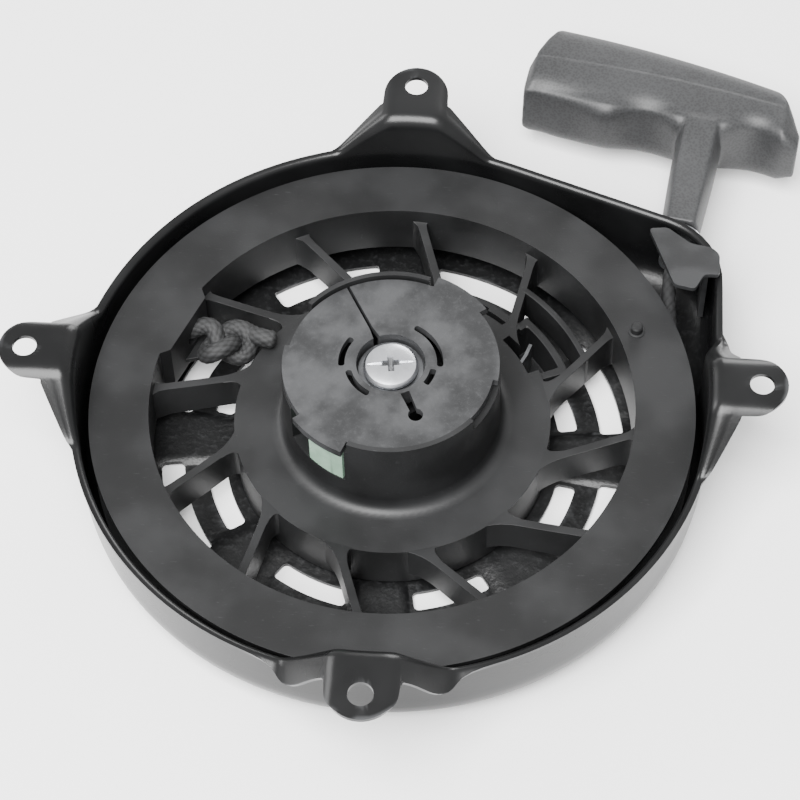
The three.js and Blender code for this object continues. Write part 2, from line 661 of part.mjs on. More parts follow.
function retainerScrew() {
  const seat = POST_TOP + WASHER_T + 2 * GAP;
  const body = turned([
    [0, SCREW_END_Z],
    [SCREW_R, SCREW_END_Z],
    [SCREW_R, seat],
    [SCREW_HEAD_R, seat],
    [SCREW_HEAD_R, seat + SCREW_HEAD_H - 1.3],
    [SCREW_HEAD_R - 2.2, seat + SCREW_HEAD_H - 0.3],
    [0, seat + SCREW_HEAD_H],
  ], 32);
  const depth = 1.6;
  const arm = block(-4, 4, -0.7, 0.7, seat + SCREW_HEAD_H - depth, seat + SCREW_HEAD_H + 1);
  return body.subtract(arm).subtract(arm.rotate([0, 0, 90]));
}

// ---------- grip ----------
const gripStart = EYELET_REACH_OUT + GAP;

// Plan of the bar at its flat top, inside the rounding of its edges.
function barPlan() {
  const front = BAR_FRONT + GRIP_ROUND;
  const left = BAR_LEFT + GRIP_ROUND;
  const right = BAR_RIGHT - GRIP_ROUND;
  const backLeft = BAR_BACK_LEFT - GRIP_ROUND;
  const backRight = BAR_BACK_RIGHT - GRIP_ROUND;
  const crest = (left - STEM_W / 2) / 2;
  const shape = new THREE.Shape();
  shape.moveTo(left, front + 4);
  shape.quadraticCurveTo((left + crest) / 2, front + SCALLOP + 3, crest, front + 1);
  shape.quadraticCurveTo((crest - STEM_W / 2) / 2, front + 2 * SCALLOP, -STEM_W / 2, front);
  shape.lineTo(STEM_W / 2, front);
  shape.quadraticCurveTo((STEM_W / 2 + right) / 2, front + 1.5 * SCALLOP, right - 1.5, front);
  shape.lineTo(right, front + 3);
  shape.lineTo(right - 1.5, front + 8);
  shape.lineTo(right - 9, backRight);
  shape.quadraticCurveTo(-12, (backLeft + backRight) / 2 + 2.5, left + 6, backLeft);
  shape.lineTo(left + 3.5, backLeft - 3);
  shape.closePath();
  return shape;
}

function grip() {
  const bar = new THREE.ExtrudeGeometry(barPlan(), {
    depth: GRIP_T - 2 * GRIP_ROUND,
    bevelThickness: GRIP_ROUND,
    bevelSize: GRIP_ROUND,
    bevelSegments: 3,
    curveSegments: 6,
  });
  const w = STEM_W / 2;
  const h = STEM_H / 2;
  const c = STEM_CHAMFER;
  const quarter = [[w, h - c], [w - c, h]];
  const half = [...quarter, ...quarter.map(([x, z]) => [-x, z]).reverse()];
  const section = polygon([...half, ...half.map(([x, z]) => [-x, -z])]);
  const stem = new THREE.ExtrudeGeometry(section, { depth: BAR_FRONT + 6 - gripStart, bevelEnabled: false });
  stem.rotateX(-Math.PI / 2);
  const body = solid(bar.translate(0, 0, -GRIP_T / 2 + GRIP_ROUND)).add(solid(stem.translate(0, gripStart, 0)));
  const pocket = block(-POCKET_W / 2, POCKET_W / 2, POCKET_BOTTOM, BAR_BACK_LEFT + 10, -POCKET_H / 2, POCKET_H / 2);
  const bore = rodAlongY(ROPE_R + 0.6, gripStart - 1, POCKET_BOTTOM + 1, 12);
  return onPull(body.subtract(pocket).subtract(bore));
}

const knotStart = POCKET_BOTTOM + 2 * GAP + INSERT_T;

function gripInsert() {
  const body = rodAlongY(INSERT_R, POCKET_BOTTOM + GAP, POCKET_BOTTOM + GAP + INSERT_T);
  return onPull(body.subtract(rodAlongY(ROPE_R + 0.5, POCKET_BOTTOM - 1, POCKET_BOTTOM + 5, 12)));
}

function gripRope() {
  return onPull(rodAlongY(ROPE_R, gripStart, knotStart - 0.1, 8));
}

function gripKnot() {
  const r = POCKET_H / 2 - 0.9;
  const ball = new THREE.SphereGeometry(1, 14, 9).scale(r, r, r);
  return onPull(solid(ball.translate(0, knotStart + GAP + r, 0)));
}

// ---------- the starter ----------
const STEEL_BLACK = { color: 0x2a2a2c, roughness: 0.45, metalness: 0.2 };
const PLASTIC_BLACK = { color: 0x323234, roughness: 0.5, metalness: 0 };
const PLASTIC_GREY = { color: 0x5c5d5f, roughness: 0.55, metalness: 0 };
const PLASTIC_GREEN = { color: 0xa9c4ae, roughness: 0.5, metalness: 0 };
const ZINC = { color: 0xd8dade, roughness: 0.25, metalness: 1 };
const SPRING_STEEL = { color: 0x55575a, roughness: 0.35, metalness: 1 };
const BRAID = { color: 0x17171a, roughness: 0.9, metalness: 0 };

const pieces = [
  ["housing_shell", housingShell(), STEEL_BLACK],
  ["centre_post", centrePost(), SPRING_STEEL],
  ["rope_guide", ropeGuide(), STEEL_BLACK],
  ["rope_eyelet", ropeEyelet(), ZINC],
  ["pulley", pulley(), PLASTIC_BLACK],
  ["spring_cover", springCover(), SPRING_STEEL],
  ["rewind_spring", rewindSpring(), SPRING_STEEL],
  ["rope_winding", ropeWinding(), BRAID],
  ["rope_knot", ropeKnot(), BRAID],
  ["rope_run", ropeRun(), BRAID],
  ["friction_plate", frictionPlate(), PLASTIC_GREY],
  ["friction_spring", frictionSpring(), SPRING_STEEL],
  ["pawl_1", pawl(0), PLASTIC_GREEN],
  ["pawl_2", pawl(180), PLASTIC_GREEN],
  ["screw_washer", screwWasher(), ZINC],
  ["retainer_screw", retainerScrew(), ZINC],
  ["grip", grip(), PLASTIC_BLACK],
  ["grip_insert", gripInsert(), ZINC],
  ["grip_rope", gripRope(), BRAID],
  ["grip_knot", gripKnot(), BRAID],
];

const starter = new THREE.Group();
for (const [name, shape, finish] of pieces) {
  const mesh = new THREE.Mesh(geometryOf(shape), new THREE.MeshStandardMaterial(finish));
  mesh.name = name;
  starter.add(mesh);
}

export default starter;
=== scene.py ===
"""Recoil starter: pressed housing, spoked pulley, clutch, rope and grip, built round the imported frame."""

import math

import bmesh
import bpy
from mathutils import Matrix, Vector


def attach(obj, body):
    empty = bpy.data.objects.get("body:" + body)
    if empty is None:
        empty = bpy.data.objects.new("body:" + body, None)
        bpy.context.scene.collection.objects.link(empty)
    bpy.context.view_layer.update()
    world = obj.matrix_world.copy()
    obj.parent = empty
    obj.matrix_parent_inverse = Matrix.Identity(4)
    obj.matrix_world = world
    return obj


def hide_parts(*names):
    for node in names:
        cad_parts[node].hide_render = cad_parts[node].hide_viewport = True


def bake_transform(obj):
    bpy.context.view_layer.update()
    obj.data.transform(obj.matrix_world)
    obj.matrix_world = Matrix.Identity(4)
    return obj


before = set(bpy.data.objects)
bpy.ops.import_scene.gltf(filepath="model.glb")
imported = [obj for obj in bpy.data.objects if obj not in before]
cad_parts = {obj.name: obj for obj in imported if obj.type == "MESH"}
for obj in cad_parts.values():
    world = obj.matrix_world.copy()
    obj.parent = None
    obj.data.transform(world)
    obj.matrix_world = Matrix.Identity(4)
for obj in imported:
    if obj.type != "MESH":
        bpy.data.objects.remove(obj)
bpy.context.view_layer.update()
scene = bpy.context.scene
MM = 0.001

# ---------- camera ----------
ELEVATION = 0.9658
HEADING = -0.08616
ROLL = 0.01814
CAMERA_AT = Vector((0.04016, -0.40442, 0.62052))

forward = Vector((math.sin(HEADING) * math.cos(ELEVATION), math.cos(HEADING) * math.cos(ELEVATION),
                  -math.sin(ELEVATION)))
level = Vector((math.cos(HEADING), -math.sin(HEADING), 0))
down = forward.cross(level)
across = math.cos(ROLL) * level + math.sin(ROLL) * down
downward = math.cos(ROLL) * down - math.sin(ROLL) * level
camera_data = bpy.data.cameras.new("view")
camera_data.sensor_width = 36
camera_data.lens = 112.9
camera_data.shift_x = -0.0122
camera_data.shift_y = -0.0152
camera_data.clip_start = 0.01
camera = bpy.data.objects.new("view", camera_data)
camera.matrix_world = Matrix.Translation(CAMERA_AT) @ Matrix((across, -downward, -forward)).transposed().to_4x4()
scene.collection.objects.link(camera)
scene.camera = camera

# ---------- sizes, millimetres ----------
SHEET = 1.2
WALL_R = 90.8
WALL_TOP = 30.5
LIP_R = 91.9
FLOOR_BEND = 12
EAR_TOP = 44.5
EAR_CIRCLE_R = 104
EAR_HOLE_R = 3.45
PAD_R = 9
PAD_CENTRE = 102.4
PAD_BEND = 4.2
LIP_BEND = 0.5
EAR_FOOT = 25
VENT_RINGS = ((49.2, 55.0, 24), (61.5, 68.3, 29))
CORNER_R = 24
CORNER_AT = Vector((69.2, 45.9))
CORNER_NORMAL = 70
CORNER_LIFT = 4

POST_R = 7.5
RIM_R, RIM_INNER_R = 87, 69.8
RIM_TOP, RIM_BOTTOM = 26.3, 8.6
GROOVE_R = 74
WEB_TOP = 18.2
CUP_R = 45.8
HUB_R, HUB_INNER_R = 31, 27.6
HUB_TOP, HUB_FLOOR = 42.6, 28.4
GUARD_TOP = 47
SPOKES = 12

PLATE_TOP, PLATE_T = 45.5, 2.5
PLATE_R = 29.2
PLATE_EYE_R = 9.75
SCREW_SEAT = 42.8

ROPE_R = 2.2
ROPE_Z = (RIM_TOP + RIM_BOTTOM) / 2
PULL_ANGLE = 81
EXIT = CORNER_AT + CORNER_R * Vector((math.cos(math.radians(60)), math.sin(math.radians(60))))
GRIP_T = 23


# ---------- mesh helpers ----------
def polar(r, degrees, z=None):
    x, y = r * math.cos(math.radians(degrees)), r * math.sin(math.radians(degrees))
    return Vector((x, y)) if z is None else Vector((x, y, z))


def smooth_step(value, low, high):
    share = min(max((value - low) / (high - low), 0), 1)
    return share * share * (3 - 2 * share)


def mix(a, b, share):
    return a + (b - a) * share


def on_pull(bm):
    """Moves a shape drawn along +Y at the origin on to the rope's line outside the housing."""
    turn = Matrix.Rotation(math.radians(PULL_ANGLE - 90), 4, "Z")
    bmesh.ops.transform(bm, matrix=Matrix.Translation((*EXIT, ROPE_Z)) @ turn, verts=bm.verts)
    return bm


def outward(bm):
    bmesh.ops.remove_doubles(bm, verts=bm.verts, dist=1e-4)
    bmesh.ops.recalc_face_normals(bm, faces=bm.faces)
    return bm


def merged(*parts):
    """One bmesh with the faces of all parts."""
    whole = bmesh.new()
    for part in parts:
        mesh = bpy.data.meshes.new("part")
        part.to_mesh(mesh)
        part.free()
        whole.from_mesh(mesh)
        bpy.data.meshes.remove(mesh)
    return whole


def spun(outline, steps=144, start=0, angle=360):
    """A closed outline of (radius, height) turned round +Z, all the way or through an angle from start."""
    bm = bmesh.new()
    corners = [bm.verts.new((r, 0, z)) for r, z in outline]
    face = bm.faces.new(corners)
    bmesh.ops.rotate(bm, verts=bm.verts, matrix=Matrix.Rotation(math.radians(start), 3, "Z"))
    if angle == 360:
        edges = face.edges[:]
        bmesh.ops.delete(bm, geom=[face], context="FACES_ONLY")
        bmesh.ops.spin(bm, geom=bm.verts[:] + edges, cent=(0, 0, 0), axis=(0, 0, 1), angle=math.tau,
                       steps=steps, use_merge=True)
    else:
        bmesh.ops.spin(bm, geom=[face], cent=(0, 0, 0), axis=(0, 0, 1), angle=math.radians(angle), steps=steps)
    return outward(bm)


def sector(inner, outer, start, end, low, high, steps=12):
    return spun([(inner, low), (outer, low), (outer, high), (inner, high)], steps, start, end - start)


def prism(points, low, high):
    bm = bmesh.new()
    face = bm.faces.new([bm.verts.new((x, y, low)) for x, y in points])
    raised = bmesh.ops.extrude_face_region(bm, geom=[face])["geom"]
    bmesh.ops.translate(bm, verts=[v for v in raised if isinstance(v, bmesh.types.BMVert)], vec=(0, 0, high - low))
    return outward(bm)


def rod(r, low, high, at=(0, 0), segments=32):
    bm = bmesh.new()
    place = Matrix.Translation((*at, (low + high) / 2))
    bmesh.ops.create_cone(bm, cap_ends=True, segments=segments, radius1=r, radius2=r, depth=high - low, matrix=place)
    return bm


def rod_along_pull(r, start, end, segments=32):
    bm = rod(r, start, end, segments=segments)
    bmesh.ops.rotate(bm, verts=bm.verts, matrix=Matrix.Rotation(math.radians(-90), 3, "X"))
    return bm


def softened(bm, width, segments=2, over=35):
    sharp = [e for e in bm.edges if len(e.link_faces) == 2 and e.calc_face_angle() > math.radians(over)]
    bmesh.ops.bevel(bm, geom=sharp, offset=width, offset_type="OFFSET", segments=segments, profile=0.5,
                    affect="EDGES", clamp_overlap=True, material=-1)
    return bm


def as_object(bm, name):
    mesh = bpy.data.meshes.new(name)
    bm.to_mesh(mesh)
    bm.free()
    thing = bpy.data.objects.new(name, mesh)
    scene.collection.objects.link(thing)
    return thing


def baked(thing):
    """The object's mesh with its modifiers, as a bmesh. The object itself goes."""
    bpy.context.view_layer.update()
    result = bmesh.new()
    result.from_mesh(bpy.data.meshes.new_from_object(thing.evaluated_get(bpy.context.evaluated_depsgraph_get())))
    bpy.data.objects.remove(thing)
    return result


def carved(bm, *tools, operation="DIFFERENCE", tidy=True):
    blank = as_object(bm, "blank")
    helpers = [as_object(outward(tool), "tool") for tool in tools]
    for helper in helpers:
        cut = blank.modifiers.new("cut", "BOOLEAN")
        cut.operation, cut.solver, cut.object = operation, "EXACT", helper
    result = baked(blank)
    for helper in helpers:
        bpy.data.objects.remove(helper)
    bmesh.ops.remove_doubles(result, verts=result.verts, dist=2e-3)
    bmesh.ops.dissolve_degenerate(result, edges=result.edges, dist=1e-3)
    if tidy:
        bmesh.ops.dissolve_limit(result, angle_limit=math.radians(0.4), verts=result.verts, edges=result.edges)
    return result


def piece(bm, name, body, material, replaces=(), sharp=32, scale=MM):
    """Links a finished shape, in metres and in its place, and lets it ride on its body."""
    bmesh.ops.scale(bm, verts=bm.verts, vec=(scale, scale, scale))
    for face in bm.faces:
        face.smooth = True
    for edge in bm.edges:
        edge.smooth = len(edge.link_faces) != 2 or edge.calc_face_angle() < math.radians(sharp)
    thing = as_object(bm, name)
    thing.data.materials.append(material)
    shading = thing.modifiers.new("shading", "WEIGHTED_NORMAL")
    shading.keep_sharp = True
    if body:
        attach(thing, body)
    if replaces:
        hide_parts(*replaces)
    return thing


# ---------- shader helpers ----------
class Field:
    """A shader socket that takes part in arithmetic."""

    def __init__(self, maker, socket):
        self.maker, self.socket = maker, socket

    def worked(self, operation, first, second=0.0):
        return self.maker.node("ShaderNodeMath", {"operation": operation}, {0: first, 1: second})

    def __add__(self, other):
        return self.worked("ADD", self, other)

    def __sub__(self, other):
        return self.worked("SUBTRACT", self, other)

    def __mul__(self, other):
        return self.worked("MULTIPLY", self, other)

    def __radd__(self, other):
        return self.worked("ADD", other, self)

    def __rsub__(self, other):
        return self.worked("SUBTRACT", other, self)

    def __rmul__(self, other):
        return self.worked("MULTIPLY", other, self)

    def __pow__(self, other):
        return self.worked("POWER", self, other)


class Finish:
    """A node material, built from one node-making method."""

    def __init__(self, name):
        self.material = bpy.data.materials.new(name)
        self.material.use_nodes = True
        self.tree = self.material.node_tree
        self.tree.nodes.clear()

    def node(self, kind, settings=None, inputs=None, output=0):
        made = self.tree.nodes.new(kind)
        for key, value in (settings or {}).items():
            if key == "stops":
                ramp = made.color_ramp
                while len(ramp.elements) < len(value):
                    ramp.elements.new(0.5)
                for element, (position, colour) in zip(ramp.elements, value):
                    element.position, element.color = position, (*colour, 1)
            else:
                setattr(made, key, value)
        for key, value in (inputs or {}).items():
            if isinstance(value, Field):
                self.tree.links.new(value.socket, made.inputs[key])
            else:
                made.inputs[key].default_value = value
        return Field(self, made.outputs[output])

    def place(self):
        return self.node("ShaderNodeTexCoord", output="Object")

    def height(self):
        return self.node("ShaderNodeSeparateXYZ", inputs={0: self.place()}, output=2)

    def noise(self, size, detail=3, roughness=0.5, stretch=None):
        """Cloudy pattern with patches of the given size in millimetres."""
        where = self.place()
        if stretch:
            where = self.node("ShaderNodeMapping", inputs={"Vector": where, "Scale": stretch})
        return self.node("ShaderNodeTexNoise", inputs={"Vector": where, "Scale": 1000 / size, "Detail": detail,
                                                       "Roughness": roughness})

    def cells(self, size, feature="F1"):
        return self.node("ShaderNodeTexVoronoi", {"feature": feature},
                         {"Vector": self.place(), "Scale": 1000 / size})

    def between(self, value, low, high, to_low=0.0, to_high=1.0):
        return self.node("ShaderNodeMapRange", {"clamp": True, "interpolation_type": "SMOOTHSTEP"},
                         {"Value": value, "From Min": low, "From Max": high, "To Min": to_low, "To Max": to_high})

    def blend(self, share, first, second):
        return self.node("ShaderNodeMix", {"data_type": "RGBA"}, {0: share, 6: first, 7: second}, output=2)

    def edges(self, sharpness=0.04):
        """Near 1 on outward edges."""
        pointed = self.node("ShaderNodeNewGeometry", output="Pointiness")
        return self.between(pointed, 0.5 + sharpness / 2, 0.5 + 1.5 * sharpness)

    def bump(self, height, strength, distance, normal=None):
        inputs = {"Height": height, "Strength": strength, "Distance": distance}
        if normal:
            inputs["Normal"] = normal
        return self.node("ShaderNodeBump", inputs=inputs)

    def finish(self, **sockets):
        values = {key.replace("_", " "): value for key, value in sockets.items()}
        shader = self.node("ShaderNodeBsdfPrincipled", inputs=values)
        self.node_out = self.tree.nodes.new("ShaderNodeOutputMaterial")
        self.tree.links.new(shader.socket, self.node_out.inputs["Surface"])
        return self.material


def grey(value, tint=(1, 1, 1)):
    return tuple(value * part for part in tint) + (1,)


COOL = (0.97, 0.99, 1.03)


def black_paint():
    f = Finish("black_paint")
    cloud = f.noise(30)
    grain = f.noise(1.6, 4, 0.6)
    low = f.between(f.height(), 0.002, 0.011, 1.0, 0.0)
    worn = f.edges(0.06) * f.between(f.noise(9, 4), 0.45, 0.62)
    colour = f.blend(f.between(cloud, 0.35, 0.7), grey(0.004, COOL), grey(0.008, COOL))
    colour = f.blend(low * f.between(grain, 0.5, 0.7), colour, grey(0.014, COOL))
    colour = f.blend(worn * 0.5, colour, grey(0.07, COOL))
    roughness = 0.2 + cloud * 0.16 + low * 0.1 + worn * 0.1
    coarse = f.bump(grain, 0.55, 0.00035)
    fine = f.bump(f.noise(0.9, 2), 0.12, 0.00012)
    normal = f.node("ShaderNodeMix", {"data_type": "VECTOR"}, {0: low, 4: fine, 5: coarse}, output=1)
    return f.finish(Base_Color=colour, Roughness=roughness, Normal=normal, Specular_IOR_Level=0.3)


def satin_plastic():
    f = Finish("satin_plastic")
    cloud = f.noise(22, 3, 0.45)
    smudge = f.noise(7, 3)
    scuff = f.between(f.noise(3, 5, 0.7, (1, 6, 1)), 0.62, 0.7)
    colour = f.blend(f.between(cloud, 0.35, 0.68), grey(0.006, COOL), grey(0.014, COOL))
    colour = f.blend(scuff * 0.3, colour, grey(0.05, COOL))
    roughness = 0.34 + cloud * 0.16 + smudge * 0.06
    normal = f.bump(f.noise(0.55, 3, 0.6), 0.22, 0.0001, f.bump(cloud, 0.12, 0.0008))
    return f.finish(Base_Color=colour, Roughness=roughness, Normal=normal, Specular_IOR_Level=0.33)


def mottled_plastic():
    f = Finish("mottled_plastic")
    cloud = f.between(f.noise(15, 4, 0.55), 0.36, 0.66)
    speckle = f.between(f.noise(1.1, 4, 0.7), 0.5, 0.72)
    colour = f.blend(cloud, grey(0.018, COOL), grey(0.042, COOL))
    colour = f.blend(speckle * 0.2, colour, grey(0.07, COOL))
    roughness = 0.42 + cloud * 0.16 + speckle * 0.08
    normal = f.bump(f.noise(0.7, 4, 0.65), 0.3, 0.00012)
    return f.finish(Base_Color=colour, Roughness=roughness, Normal=normal, Specular_IOR_Level=0.35)


def grained_plastic():
    f = Finish("grained_plastic")
    grain = f.cells(0.8)
    cloud = f.noise(26)
    colour = f.blend(f.between(cloud, 0.3, 0.7), grey(0.013, COOL), grey(0.021, COOL))
    colour = f.blend(f.between(grain, 0.25, 0.7) * 0.3, colour, grey(0.05, COOL))
    roughness = 0.46 + cloud * 0.1
    normal = f.bump(grain, 0.25, 0.0001)
    return f.finish(Base_Color=colour, Roughness=roughness, Normal=normal, Specular_IOR_Level=0.5)


def green_plastic():
    f = Finish("green_plastic")
    cloud = f.noise(6)
    colour = f.blend(f.between(cloud, 0.3, 0.7), (0.24, 0.38, 0.28, 1), (0.34, 0.48, 0.38, 1))
    normal = f.bump(f.noise(0.6, 3), 0.2, 0.0001)
    return f.finish(Base_Color=colour, Roughness=0.4 + cloud * 0.15, Normal=normal)


def steel(name, dark, light, rough, tint=COOL, brushed=(1, 1, 1), recess_shade_below=None):
    f = Finish(name)
    cloud = f.noise(8, 4, 0.6, brushed)
    scratch = f.noise(0.8, 4, 0.7, brushed)
    spots = f.between(f.noise(2.5, 4, 0.6), 0.6, 0.75)
    colour = f.blend(f.between(cloud, 0.3, 0.7), grey(dark, tint), grey(light, tint))
    colour = f.blend(spots * 0.4, colour, grey(dark * 0.6, (1.1, 1, 0.85)))
    roughness = rough + cloud * 0.12 + spots * 0.1
    # Painted shade: below the given height and near the axis, the screw head's recess is darkened and made rougher.
    if recess_shade_below:
        x, y, z = (f.node("ShaderNodeSeparateXYZ", inputs={0: f.place()}, output=axis) for axis in range(3))
        painted_recess_shade = f.between(z, recess_shade_below, recess_shade_below - 0.0005) * f.between(x * x + y * y, 3.4e-5, 2.2e-5)
        colour = f.blend(painted_recess_shade * 0.8, colour, grey(dark * 0.12))
        roughness = roughness + painted_recess_shade * 0.3
    normal = f.bump(scratch, 0.2, 0.00008)
    return f.finish(Base_Color=colour, Roughness=roughness, Normal=normal, Metallic=1.0)


def grey_pressing():
    f = Finish("grey_pressing")
    cloud = f.noise(9, 4)
    colour = f.blend(f.between(cloud, 0.35, 0.65), grey(0.014, COOL), grey(0.025, COOL))
    normal = f.bump(f.noise(0.8, 3), 0.25, 0.0001)
    return f.finish(Base_Color=colour, Roughness=0.35 + cloud * 0.15, Normal=normal, Specular_IOR_Level=0.4)


def braid():
    f = Finish("braid")
    weave = f.node("ShaderNodeAttribute", {"attribute_name": "weave"}, output="Fac")
    fibre = f.noise(0.35, 3, 0.7)
    # Painted shade: darker in the crevices between strands, lighter on the strand tops.
    colour = f.blend(f.between(weave, 0.15, 0.75), grey(0.003), grey(0.016, COOL))
    colour = f.blend(f.between(fibre, 0.55, 0.75) * weave * 0.5, colour, grey(0.05, COOL))
    normal = f.bump(fibre, 0.4, 0.00015)
    return f.finish(Base_Color=colour, Roughness=0.62 + fibre * 0.2, Normal=normal)


PAINT = black_paint()
PULLEY_PLASTIC = satin_plastic()
PLATE_PLASTIC = mottled_plastic()
GRIP_PLASTIC = grained_plastic()
PAWL_PLASTIC = green_plastic()
ZINC = steel("zinc_plate", 0.7, 0.85, 0.24)
SCREW_ZINC = steel("screw_zinc", 0.75, 0.9, 0.22, recess_shade_below=(SCREW_SEAT + 2.2) * MM)
SPRING_STEEL = steel("spring_steel", 0.16, 0.26, 0.28, brushed=(1, 1, 8))
POST_STEEL = steel("post_steel", 0.35, 0.5, 0.25)
GREY_SHEET = grey_pressing()
BRAID = braid()


# ---------- housing ----------
PAD_ARC, PAD_SIDE, FLARE, PLAIN = 10, 5, 14, 15
HALF = PAD_ARC + PAD_SIDE + FLARE + PLAIN
COLUMNS = 8 * HALF


def ear_station(index):
    """Inner distance from the ear's centre line, and the outer edge as (outwards, sideways), for one column."""
    flare_from = Vector((98.6, PAD_R + 0.1))
    lip_angle = math.asin(EAR_FOOT / LIP_R)
    if index <= PAD_ARC:
        turn = math.radians(90 * index / PAD_ARC)
        return 0.93 * PAD_R * index / PAD_ARC, Vector((PAD_CENTRE + PAD_R * math.cos(turn), PAD_R * math.sin(turn)))
    if index <= PAD_ARC + PAD_SIDE:
        share = (index - PAD_ARC) / PAD_SIDE
        return PAD_R * mix(0.93, 1.03, share), Vector((PAD_CENTRE, PAD_R)).lerp(flare_from, share)
    if index <= PAD_ARC + PAD_SIDE + FLARE:
        share = (index - PAD_ARC - PAD_SIDE) / FLARE
        foot = LIP_R * Vector((math.cos(lip_angle), math.sin(lip_angle)))
        middle = Vector((95.4, PAD_R + 5.5))
        edge = flare_from.lerp(middle, share).lerp(middle.lerp(foot, share), share)
        return mix(PAD_R * 1.03, EAR_FOOT * WALL_R / LIP_R, share), edge
    share = (index - PAD_ARC - PAD_SIDE - FLARE) / PLAIN
    turn = mix(lip_angle, math.pi / 4, share)
    return WALL_R * math.sin(turn), LIP_R * Vector((math.cos(turn), math.sin(turn)))


def ear_height(sideways):
    """Height of the flange at a distance from an ear's centre line."""
    rise = (22.4 - abs(sideways)) * 0.94 / (EAR_TOP - WALL_TOP)
    soft = 0.09
    rise = (rise + math.sqrt(rise * rise + soft * soft)) / 2
    rise = 1 - (1 - rise + math.sqrt((1 - rise) ** 2 + soft * soft)) / 2
    return WALL_TOP + (EAR_TOP - WALL_TOP) * min(rise * 1.002, 1)


def corner_reach(degrees):
    """Wall's distance from the axis at an angle, with the corner where the rope leaves."""
    if not 7 < degrees < CORNER_NORMAL:
        return WALL_R
    ray = polar(1, degrees)
    straight = (CORNER_AT.x + CORNER_R) / ray.x
    aslant = WALL_R / math.cos(math.radians(CORNER_NORMAL - degrees))
    towards = CORNER_AT.dot(ray)
    aside = CORNER_AT.length_squared - towards * towards
    arc = towards + math.sqrt(max(CORNER_R * CORNER_R - aside, 0))
    arc_from = math.degrees(math.atan2(CORNER_AT.y, CORNER_AT.x + CORNER_R))
    arc_end = CORNER_AT + polar(CORNER_R, CORNER_NORMAL)
    arc_to = math.degrees(math.atan2(arc_end.y, arc_end.x))
    reach = straight if degrees < arc_from else arc if degrees < arc_to else aslant
    return mix(WALL_R, reach, smooth_step(degrees, 8, 15))


def housing():
    floor = [0, 14, 26, 38, 44, 46, 48, 50, 54, 58, 62, 66, 70, 74, 76.5]
    bend = [math.radians(90 * i / 8) for i in range(9)]
    wall = [0.15, 0.35, 0.55, 0.75, 0.9]
    curl = [math.radians(90 * i / 4) for i in range(5)]
    flange = [0.25, 0.5, 0.75, 0.92, 1]
    rows = (len(floor), len(bend), len(wall), len(curl), len(flange))
    bm = bmesh.new()
    row_of = bm.verts.layers.int.new("row")
    chain = []
    for index in range(sum(rows)):
        vert = bm.verts.new((index * 3.0, 0, index * 0.5))
        vert[row_of] = index
        chain.append(vert)
    edges = [bm.edges.new(pair) for pair in zip(chain, chain[1:])]
    bmesh.ops.spin(bm, geom=chain + edges, cent=(0, 0, 0), axis=(0, 0, 1), angle=math.tau, steps=COLUMNS,
                   use_merge=True)
    for vert in bm.verts:
        column = round(math.atan2(vert.co.y, vert.co.x) / math.tau * COLUMNS) % COLUMNS
        quarter, offset = divmod(column + HALF, 2 * HALF)
        offset -= HALF
        side = -1 if offset < 0 else 1
        inner, edge = ear_station(abs(offset))
        ear_angle = 90 * quarter
        angle = ear_angle + side * math.degrees(math.asin(inner / WALL_R))
        stretch = corner_reach(angle % 360) - WALL_R
        lift = CORNER_LIFT * smooth_step(stretch, 2, 12)
        row = vert[row_of]
        top = ear_height(inner) - SHEET
        share = (top + SHEET - WALL_TOP) / (EAR_TOP - WALL_TOP)
        curl_r = mix(LIP_BEND, PAD_BEND - SHEET, share)
        if row < rows[0]:
            r = floor[row]
            outer = smooth_step(r, 56, 76)
            rib = smooth_step(abs((angle + 22.5) % 45 - 22.5), 9.2, 6.8)
            rib *= smooth_step(r, 44, 48) * smooth_step(r, 76, 70)
            vert.co = polar(r + stretch * outer, angle, lift * outer + 1.1 * rib)
            continue
        row -= rows[0]
        if row < rows[1]:
            r = WALL_R - FLOOR_BEND + FLOOR_BEND * math.sin(bend[row]) + stretch
            vert.co = polar(r, angle, lift + (FLOOR_BEND - lift) * (1 - math.cos(bend[row])))
            continue
        row -= rows[1]
        if row < rows[2]:
            vert.co = polar(WALL_R + stretch, angle, mix(FLOOR_BEND, top - curl_r, wall[row]))
            continue
        row -= rows[2]
        if row < rows[3]:
            vert.co = polar(WALL_R + stretch + curl_r * (1 - math.cos(curl[row])), angle,
                            top - curl_r + curl_r * math.sin(curl[row]))
            continue
        row -= rows[3]
        turned = Matrix.Rotation(math.radians(ear_angle), 2)
        begin = turned.inverted() @ polar(WALL_R + stretch + curl_r, angle)
        flare = 3.2 * math.exp(-((abs(edge.y) - 19) / 6) ** 2) if quarter == 3 else 0
        away = stretch * smooth_step(abs(edge.y), 6, 16)
        edge = Vector((edge.x, side * edge.y))
        edge += edge.normalized() * (away + flare)
        at = begin.lerp(edge, flange[row])
        height = ear_height(at.y) - SHEET - flare * 0.5 * flange[row]
        vert.co = (*(turned @ at), height)
    outward(bm)
    if max(bm.faces, key=lambda face: face.calc_center_median().z).normal.z < 0:
        bmesh.ops.reverse_faces(bm, faces=bm.faces)
    sheet = as_object(bm, "sheet")
    thicken = sheet.modifiers.new("thicken", "SOLIDIFY")
    thicken.thickness, thicken.offset = SHEET, 1
    return outward(baked(sheet))


def vent_tools():
    tools = []
    for inner, outer, span in VENT_RINGS:
        for index in range(8):
            middle = 45 * index + 22.5
            slot = sector(inner, outer, middle - span / 2, middle + span / 2, -4, 8, 14)
            upright = [e for e in slot.edges if abs(e.verts[0].co.z - e.verts[1].co.z) > 5
                       and e.calc_face_angle() > 1]
            bmesh.ops.bevel(slot, geom=upright, offset=1.4, segments=4, profile=0.5, affect="EDGES", material=-1)
            tools.append(slot)
    for turn in range(0, 360, 90):
        tools.append(rod(EAR_HOLE_R, EAR_TOP - 4, EAR_TOP + 4, polar(EAR_CIRCLE_R, turn), 40))
    tools.append(on_pull(rod_along_pull(4.8, -9, 9)))
    return merged(*tools)


piece(carved(housing(), vent_tools(), tidy=False), "housing_pressing", "housing", PAINT, ["housing_shell"], sharp=38)


